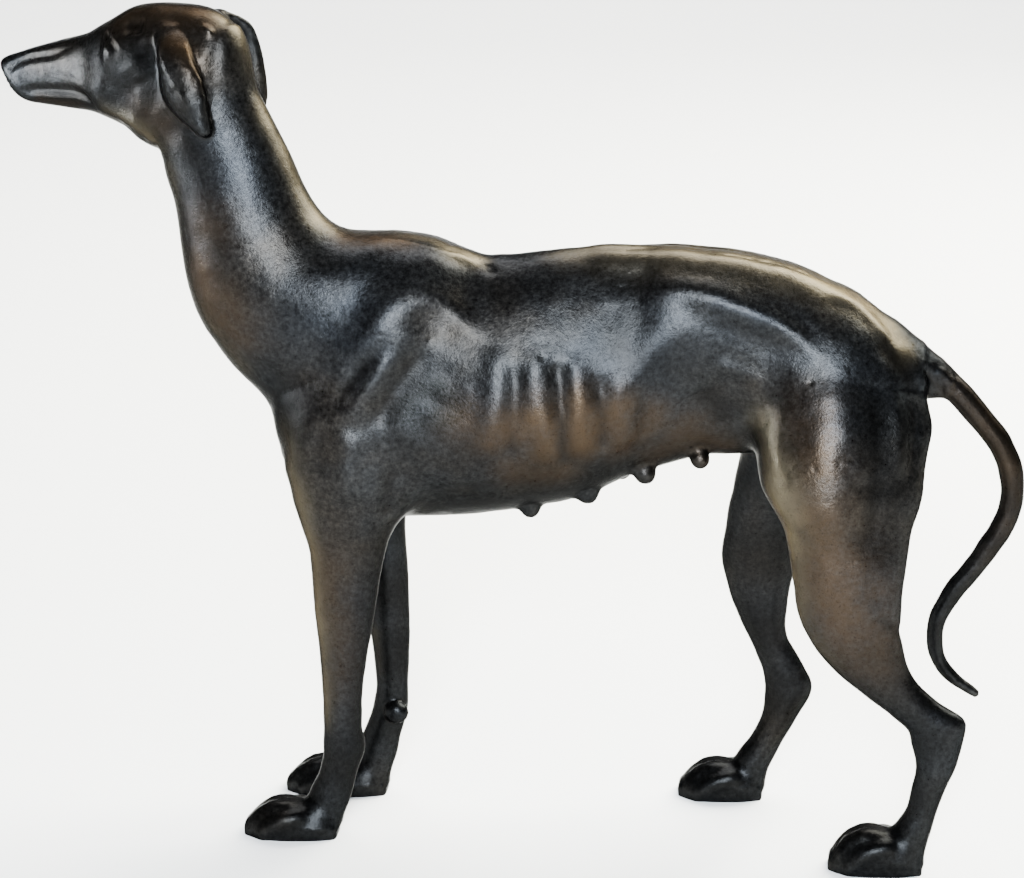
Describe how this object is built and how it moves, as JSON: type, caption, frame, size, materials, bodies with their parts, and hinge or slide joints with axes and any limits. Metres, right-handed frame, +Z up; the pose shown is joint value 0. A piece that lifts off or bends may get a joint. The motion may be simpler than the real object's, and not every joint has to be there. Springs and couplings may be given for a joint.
{
  "type": "greyhound figurine",
  "caption": "Standing greyhound statuette, head turned aside, ears hanging, ribs and hip bones showing, long curved tail, on flat-soled paws.",
  "frame": {"origin": "middle of the outline box on the ground plane under the belly", "axes": "-X towards the nose, -Y towards the dog's left side, +Z up"},
  "size_m": [0.3449, 0.0737, 0.2816],
  "materials": {
    "bronze": "dark brown-black patina, satin"
  },
  "bodies": {
    "root": {"greyhound": "bronze"}
  },
  "joints": []
}
